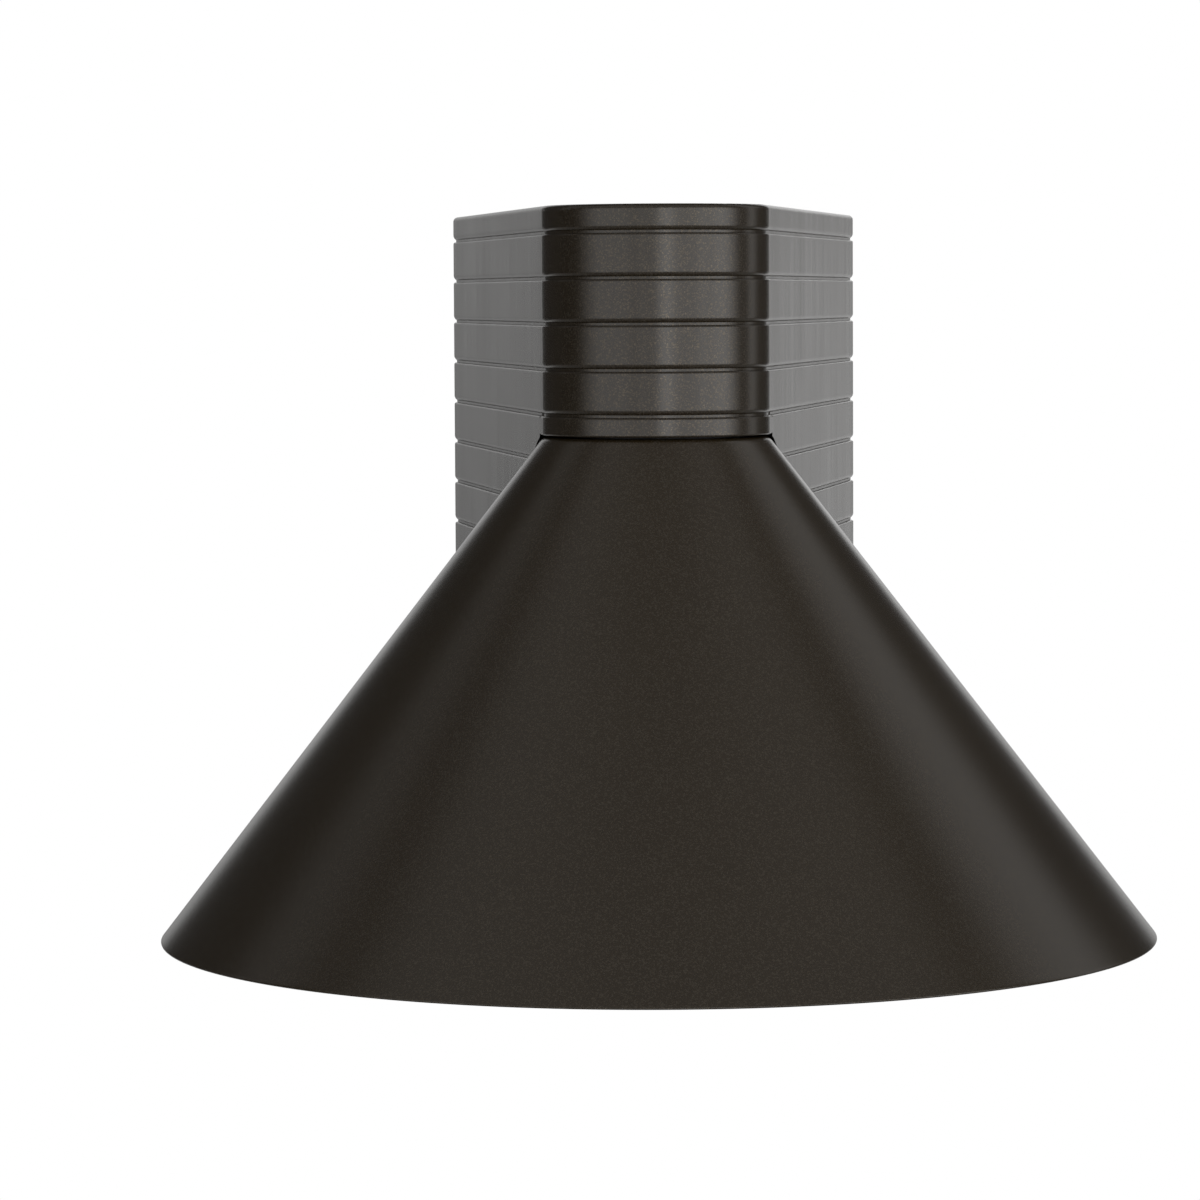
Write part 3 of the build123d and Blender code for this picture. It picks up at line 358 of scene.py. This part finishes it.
def turned_piece(name, outline, steps, finish, body, replaced, more=None):
    """A turned piece of the light, from its outline of radius and height, in place of a node."""
    curve = bpy.data.curves.new(name + "_outline", "CURVE")
    curve.dimensions = "3D"
    spline = curve.splines.new("POLY")
    spline.points.add(len(outline) - 1)
    for point, (radius, height) in zip(spline.points, outline):
        point.co = (radius, height, 0.0, 1.0)
    spline.use_cyclic_u = True
    source = bpy.data.objects.new(name + "_source", curve)
    scene.collection.objects.link(source)
    modifier = source.modifiers.new("turned", "NODES")
    modifier.node_group = turned_shape
    values = {
        "Steps": steps,
        "Axis": (0.0, axis_y, 0.0),
        "Thread Pitch": 1.0,
        "Finish": finish,
        "Lining": finish,
        "Lining Above": never_lined,
    }
    values.update(more or {})
    for socket in turned_shape.interface.items_tree:
        if socket.name in values:
            modifier[socket.identifier] = values[socket.name]
    source.update_tag()
    graph = bpy.context.evaluated_depsgraph_get()
    mesh = bpy.data.meshes.new_from_object(source.evaluated_get(graph))
    bpy.data.objects.remove(source)
    mesh.shade_smooth()
    mesh.set_sharp_from_angle(angle=smooth_below)
    piece = bpy.data.objects.new(name, mesh)
    scene.collection.objects.link(piece)
    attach(piece, body)
    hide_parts(replaced)
    return piece


def rounded(middle, radius, start, end, steps=8):
    """Points of a small arc about a middle point, from one angle to another in degrees."""
    angles = [radians(start + (end - start) * i / steps) for i in range(steps + 1)]
    return [(middle[0] + radius * cos(a), middle[1] + radius * sin(a)) for a in angles]


def straight(start, end, shares=(0.004, 0.02, 0.2, 0.4, 0.6, 0.8, 0.98, 0.996)):
    """Points between two ends of a line, also close to the ends, so that its shading stays even."""
    return [(start[0] + (end[0] - start[0]) * s, start[1] + (end[1] - start[1]) * s) for s in shares]


def cone_edge(height, inset):
    """Radius and height of a point of the cone's outside, or so far inside it across its wall."""
    return (rim_radius - (height - shade_rim) * shade_slope - inset / cos(atan(shade_slope)), height)


def white_lining():
    """Matt white powder coat."""
    material = bpy.data.materials.new("shade_lining")
    coat = surface_sheet(material)
    place = coat.place()
    peel = coat.node("ShaderNodeTexNoise", None, {"Vector": place, "Scale": peel_scale, "Detail": 2.0})
    cloud = coat.node("ShaderNodeTexNoise", None, {"Vector": place, "Scale": cloud_scale, "Detail": 3.0})
    colour = coat.blend(0.25 * cloud, lining_white, lining_grey)
    normal = coat.node("ShaderNodeBump", None, {"Strength": 0.15, "Distance": 0.0002, "Height": peel})
    finished(coat, {"Base Color": colour, "Roughness": 0.42 + 0.08 * cloud, "Normal": normal})
    return material


shade_slope = (rim_radius - shade_top_radius) / (shade_top - shade_rim)
lean = degrees(atan(shade_slope))
shoulder = rounded(cone_edge(shade_top - shoulder_radius, shoulder_radius), shoulder_radius, 90, lean)
rim_side = rounded(cone_edge(shade_rim + rim_rounding, rim_rounding), rim_rounding, lean, -90)
inner_middle = cone_edge(shade_rim + rim_rounding, shade_wall - rim_rounding)
inner_side = rounded(inner_middle, rim_rounding, -90, lean - 180)
ceiling = cone_edge(shade_top - shade_wall, shade_wall)
outline = [(shade_bore, shade_top)] + straight((shade_bore, shade_top), shoulder[0]) + shoulder
outline += straight(shoulder[-1], rim_side[0]) + rim_side + inner_side + straight(inner_side[-1], ceiling)
outline += [ceiling, (shade_bore, ceiling[1])]
lining = {"Lining": white_lining(), "Lining Above": shade_rim + rim_rounding}
shade_coat = bronze_coat("shade_bronze", shade_bronze_dark, shade_bronze_light, streaks=0.0)
turned_piece("spun_shade", outline, shade_steps, shade_coat, "root", "shade", lining)

# Shade's set screws: two small socket set screws of blackened stainless steel, run in through the nose
# so that their tips hold the shade's collar. Only their sockets' ends show, in the fifth groove.
blackened_light = (0.062, 0.056, 0.050, 1.0)
blackened_dark = (0.030, 0.027, 0.024, 1.0)
even_grain = (900.0, 900.0, 900.0)


def metal(name, bright, dull, roughness, grain, relief=0.05):
    """Bare or plated metal whose gloss changes with the marks of its making."""
    material = bpy.data.materials.new(name)
    sheet = surface_sheet(material)
    place = sheet.place()
    drawn = sheet.vector("MULTIPLY", place, grain)
    marks = sheet.node("ShaderNodeTexNoise", None, {"Vector": drawn, "Scale": 1.0, "Detail": 3.0})
    patches = sheet.node("ShaderNodeTexNoise", None, {"Vector": place, "Scale": 140.0, "Detail": 3.0})
    colour = sheet.blend(patches, bright, dull)
    gloss = roughness + 0.16 * (marks - 0.5) + 0.10 * (patches - 0.5)
    normal = sheet.node("ShaderNodeBump", None, {"Strength": relief, "Distance": 0.0001, "Height": marks})
    finished(sheet, {"Base Color": colour, "Metallic": 1.0, "Roughness": gloss, "Normal": normal})
    return material


blackened_steel = metal("blackened_steel", blackened_light, blackened_dark, roughness=0.38, grain=even_grain)
dress("shade_set_screws", blackened_steel)

# Housing screws: two pan head screws of the same blackened steel, up from below into the plate's nuts.
# They lock the housing to the plate.
turned_grain = (60.0, 60.0, 2400.0)
blackened_heads = metal(
    "blackened_heads", blackened_light, blackened_dark, roughness=0.34, grain=turned_grain
)
dress("housing_screws", blackened_heads)

# Wall gasket: a ring die-cut from closed-cell foam, stuck in a shallow recess of the housing's back edge.
# Its cut faces show small open cells, each painted darker towards its hollow middle as shade.
foam_light = (0.040, 0.040, 0.041, 1.0)
foam_hollow_shade = (0.018, 0.018, 0.018, 1.0)
foam_cell = 0.0007
gasket_material = bpy.data.materials.new("foam")
foam = surface_sheet(gasket_material)
cells = {"Vector": foam.place(), "Scale": 1 / foam_cell}
cell_depth = foam.node("ShaderNodeTexVoronoi", None, cells, "Distance")
# Painted shade: the colour darkens towards each open cell's hollow middle, where the bump is deepest.
cell_painted_shade = foam.blend(cell_depth, foam_hollow_shade, foam_light)
cell_relief = foam.node("ShaderNodeBump", None, {"Strength": 0.6, "Distance": 0.0003, "Height": cell_depth})
finished(foam, {"Base Color": cell_painted_shade, "Roughness": 0.85 + 0.1 * cell_depth, "Normal": cell_relief})
dress("wall_gasket", gasket_material)

# Mounting plate: folded from mild steel sheet and bright zinc plated, which leaves a faint spangle. Its
# two clinch nuts, the nipple, its nut and washers are plated alike.
zinc_light = (0.62, 0.63, 0.65, 1.0)
zinc_dark = (0.43, 0.44, 0.46, 1.0)
zinc_blue = (0.50, 0.54, 0.60, 1.0)
spangle_size = 0.006


def zinc_plating(name, roughness):
    """Zinc plated steel with a faint spangle."""
    material = bpy.data.materials.new(name)
    plating = surface_sheet(material)
    place = plating.place()
    bent = plating.node("ShaderNodeTexNoise", None, {"Vector": place, "Scale": 160.0, "Detail": 2.0}, "Color")
    wavy = plating.vector("ADD", place, plating.vector("MULTIPLY", bent, (0.004, 0.004, 0.004)))
    spangle = plating.node("ShaderNodeTexVoronoi", None, {"Vector": wavy, "Scale": 1 / spangle_size}, "Color")
    shine = plating.node("ShaderNodeSeparateColor", None, {0: spangle})
    stain = plating.node("ShaderNodeTexNoise", None, {"Vector": place, "Scale": 60.0, "Detail": 5.0})
    colour = plating.blend(0.3 * stain, plating.blend(shine, zinc_dark, zinc_light), zinc_blue)
    finished(plating, {"Base Color": colour, "Metallic": 1.0, "Roughness": roughness + 0.12 * shine})
    return material


plate_zinc = zinc_plating("zinc_sheet", roughness=0.30)
small_zinc = zinc_plating("zinc_small", roughness=0.26)
dress("mounting_plate", plate_zinc)
dress("clinch_nuts", small_zinc)
dress("nipple_nut", small_zinc)
dress("nipple_lock_washer", small_zinc)
dress("shade_washer", small_zinc)

# Ground screw: steel screw with a wide slotted head, passivated green so that it is known as the earth.
green_light = (0.045, 0.33, 0.10, 1.0)
green_dark = (0.015, 0.17, 0.045, 1.0)
dress("ground_screw", metal("green_passivation", green_light, green_dark, roughness=0.34, grain=even_grain))

# Terminal block: moulded in off-white nylon with three brass clamps in it. The clamps' grub screws are
# brass too, and two zinc plated steel screws hold the block to the plate.
nylon_light = (0.80, 0.78, 0.72, 1.0)
nylon_dark = (0.72, 0.70, 0.63, 1.0)
brass_light = (0.80, 0.60, 0.26, 1.0)
brass_dark = (0.62, 0.42, 0.15, 1.0)
steel_light = (0.58, 0.58, 0.60, 1.0)
steel_dark = (0.40, 0.40, 0.42, 1.0)


def moulded(name, light_tone, dark_tone, roughness, grain_scale, relief, more=None):
    """Moulded, glazed or extruded surface with a slight unevenness in tone, gloss and height."""
    material = bpy.data.materials.new(name)
    sheet = surface_sheet(material)
    place = sheet.place()
    grain = sheet.node("ShaderNodeTexNoise", None, {"Vector": place, "Scale": grain_scale, "Detail": 3.0})
    flow = sheet.node("ShaderNodeTexNoise", None, {"Vector": place, "Scale": 45.0, "Detail": 2.0})
    normal = sheet.node("ShaderNodeBump", None, {"Strength": relief, "Distance": 0.0002, "Height": grain})
    inputs = {"Roughness": roughness + 0.10 * (flow - 0.5), "Normal": normal}
    inputs["Base Color"] = sheet.blend(flow, light_tone, dark_tone)
    inputs.update(more or {})
    finished(sheet, inputs)
    return material


contact_brass = metal("brass", brass_light, brass_dark, roughness=0.30, grain=even_grain)
nylon = moulded("nylon", nylon_light, nylon_dark, roughness=0.45, grain_scale=1500.0, relief=0.12)
dress("terminal_block", nylon)
dress("terminal_clamps", contact_brass)
dress("terminal_screws", contact_brass)
steel_heads = metal("steel_heads", steel_light, steel_dark, roughness=0.30, grain=even_grain)
dress("terminal_fixing_screws", steel_heads)

# Shade's collar: a ring turned from aluminium bar, whose tool marks run round it. It is coloured near
# black as painted shade, because the gap above the shade would show it.
# Painted shade: both tones of the collar are near black, so that the gap above the shade reads dark.
collar_shade_pale = (0.034, 0.034, 0.036, 1.0)
collar_shade_deep = (0.020, 0.020, 0.022, 1.0)
collar_painted_shade = metal(
    "collar_painted_shade", collar_shade_pale, collar_shade_deep, roughness=0.42, grain=turned_grain, relief=0.15
)
dress("shade_collar", collar_painted_shade)

# Collar's seal: a moulded ring of black rubber in the collar's upper groove. It closes the running gap.
rubber_light = (0.030, 0.030, 0.031, 1.0)
rubber_dark = (0.017, 0.017, 0.017, 1.0)
seal_rubber = moulded(
    "seal_rubber", rubber_light, rubber_dark, roughness=0.55, grain_scale=1800.0, relief=0.20
)
dress("collar_seal", seal_rubber)

# Nipple: a steel tube threaded over its whole length, zinc plated. It clamps the collar, the shade and
# the lampholder between its nut and the lampholder's boss.
nipple_low, nipple_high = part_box("nipple")
nipple_radius = (nipple_high[0] - nipple_low[0]) / 2
nipple_bore = 0.0036
nipple_steps = 48
fine_pitch = 0.001
fine_depth = 0.00055
rows_a_pitch = 8


def wall(radius, start, end, pitch):
    """Points along a straight wall, close enough together to carry a thread of this pitch."""
    count = round(abs(end - start) / pitch * rows_a_pitch)
    return [(radius, start + (end - start) * i / count) for i in range(count + 1)]


outline = wall(nipple_radius, nipple_high[2], nipple_low[2], fine_pitch)
outline += [(nipple_bore, nipple_low[2]), (nipple_bore, nipple_high[2])]
thread = {
    "Thread From Radius": (nipple_radius + nipple_bore) / 2,
    "Thread Low": nipple_low[2] - fine_pitch / 2,
    "Thread High": nipple_high[2] + fine_pitch / 2,
    "Thread Pitch": fine_pitch,
    "Thread Height": -fine_depth,
}
turned_piece("threaded_nipple", outline, nipple_steps, small_zinc, "root", "nipple", thread)

# Ring tag: stamped from tinned brass, under the nipple's nut. The housing's earth lead is pressed into
# its barrel.
tin_light = (0.72, 0.71, 0.66, 1.0)
tin_dark = (0.56, 0.54, 0.48, 1.0)
dress("ground_ring", metal("tinned_brass", tin_light, tin_dark, roughness=0.34, grain=even_grain))

# Nipple's bushing: a moulded black sleeve that keeps the leads off the tube's edge.
sleeve_light = (0.040, 0.040, 0.040, 1.0)
sleeve_dark = (0.024, 0.024, 0.024, 1.0)
bushing_plastic = moulded(
    "bushing_plastic", sleeve_light, sleeve_dark, roughness=0.42, grain_scale=1600.0, relief=0.12
)
dress("nipple_bushing", bushing_plastic)

# Lampholder: a drawn aluminium cap over a porcelain cup, glazed white. Inside the cup are a rolled brass
# screw shell, a spring leaf and its rivet, with two terminal screws on the cup's top.
drawn_light = (0.68, 0.68, 0.69, 1.0)
drawn_dark = (0.55, 0.55, 0.56, 1.0)
glaze_light = (0.87, 0.86, 0.83, 1.0)
glaze_dark = (0.82, 0.81, 0.77, 1.0)
shell_low, shell_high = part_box("socket_shell")
shell_radius = (shell_high[0] - shell_low[0]) / 2
shell_wall = 0.0004
shell_eye = 0.008
shell_steps = 96
screw_pitch = 0.0036
drawn_grain = (90.0, 90.0, 700.0)
dress("socket_cap", metal("drawn_aluminium", drawn_light, drawn_dark, roughness=0.34, grain=drawn_grain))
glaze = moulded("glazed_porcelain", glaze_light, glaze_dark, 0.22, 300.0, 0.04, {"Coat Weight": 0.6})
dress("socket_body", glaze)
shell_inside = shell_radius - shell_wall
outline = [(shell_eye, shell_high[2])] + wall(shell_radius, shell_high[2], shell_low[2], screw_pitch)
outline += wall(shell_inside, shell_low[2], shell_high[2] - shell_wall, screw_pitch)
outline += [(shell_eye, shell_high[2] - shell_wall)]
thread = {
    "Thread From Radius": (shell_inside + shell_eye) / 2,
    "Thread Low": shell_low[2] + screw_pitch / 4,
    "Thread High": shell_high[2] - screw_pitch,
    "Thread Pitch": screw_pitch,
    "Thread Height": -shell_wall,
}
turned_piece("rolled_shell", outline, shell_steps, contact_brass, "root", "socket_shell", thread)
dress("socket_contact", contact_brass)
dress("socket_contact_rivet", contact_brass)
dress("socket_terminal_screws", contact_brass)

# Bulb's globe and neck: blown opal plastic with a fine frost, cemented into a moulded white neck that
# carries the bulb's electronics.
frost_light = (0.90, 0.90, 0.885, 1.0)
frost_dark = (0.87, 0.87, 0.85, 1.0)
neck_light = (0.88, 0.88, 0.87, 1.0)
neck_dark = (0.84, 0.84, 0.83, 1.0)
frosted_globe = moulded(
    "frosted_globe", frost_light, frost_dark, roughness=0.50, grain_scale=2400.0, relief=0.15
)
dress("bulb_globe", frosted_globe)
neck_plastic = moulded("neck_plastic", neck_light, neck_dark, roughness=0.26, grain_scale=1200.0, relief=0.05)
dress("bulb_neck", neck_plastic)

# Bulb's board: an aluminium disc coated white, which carries the light-emitting diodes. The opal globe
# hides it from all sides.
board_light = (0.88, 0.88, 0.88, 1.0)
board_dark = (0.82, 0.82, 0.81, 1.0)
board_coat = moulded("board_coat", board_light, board_dark, roughness=0.40, grain_scale=900.0, relief=0.08)
dress("bulb_board", board_coat)

# Bulb's screw cap: thin brass sheet rolled into a screw and nickel plated. Black glass sets its end
# contact apart, which is a tinned button.
nickel_light = (0.78, 0.77, 0.74, 1.0)
nickel_dark = (0.64, 0.62, 0.58, 1.0)
glass_light = (0.024, 0.023, 0.024, 1.0)
glass_dark = (0.012, 0.012, 0.013, 1.0)
cap_low, cap_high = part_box("bulb_cap")
cap_root = 0.0121
cap_wall = 0.0005
cap_eye = 0.0090
cap_thread = 0.0008
cap_nickel = metal("nickel", nickel_light, nickel_dark, roughness=0.24, grain=drawn_grain)
outline = [(cap_eye, cap_high[2])] + wall(cap_root, cap_high[2], cap_low[2], screw_pitch)
outline += wall(cap_root - cap_wall, cap_low[2], cap_high[2] - cap_wall, screw_pitch)
outline += [(cap_eye, cap_high[2] - cap_wall)]
thread = {
    "Thread From Radius": (cap_root - cap_wall + cap_eye) / 2,
    "Thread Low": cap_low[2] + screw_pitch / 2,
    "Thread High": cap_high[2] - cap_wall,
    "Thread Pitch": screw_pitch,
    "Thread Height": cap_thread,
}
turned_piece("rolled_cap", outline, shell_steps, cap_nickel, "bulb", "bulb_cap", thread)
dress("bulb_contact", metal("contact_tin", tin_light, tin_dark, roughness=0.36, grain=even_grain))
black_glass = moulded("black_glass", glass_light, glass_dark, roughness=0.12, grain_scale=300.0, relief=0.03)
dress("bulb_insulator", black_glass)

# Leads: stranded copper in extruded insulation, black for live, white for neutral and green for earth.
# The insulation has a soft sheen and a little talc on it.
black_light = (0.030, 0.030, 0.031, 1.0)
black_dark = (0.018, 0.018, 0.018, 1.0)
white_light = (0.82, 0.82, 0.80, 1.0)
white_dark = (0.74, 0.74, 0.72, 1.0)
lead_green_light = (0.040, 0.32, 0.095, 1.0)
lead_green_dark = (0.022, 0.23, 0.060, 1.0)
black_insulation = moulded(
    "black_insulation", black_light, black_dark, roughness=0.38, grain_scale=900.0, relief=0.10
)
dress("lead_live", black_insulation)
white_insulation = moulded(
    "white_insulation", white_light, white_dark, roughness=0.38, grain_scale=900.0, relief=0.10
)
dress("lead_neutral", white_insulation)
green_insulation = moulded(
    "green_insulation", lead_green_light, lead_green_dark, roughness=0.38, grain_scale=900.0, relief=0.10
)
dress("lead_ground", green_insulation)
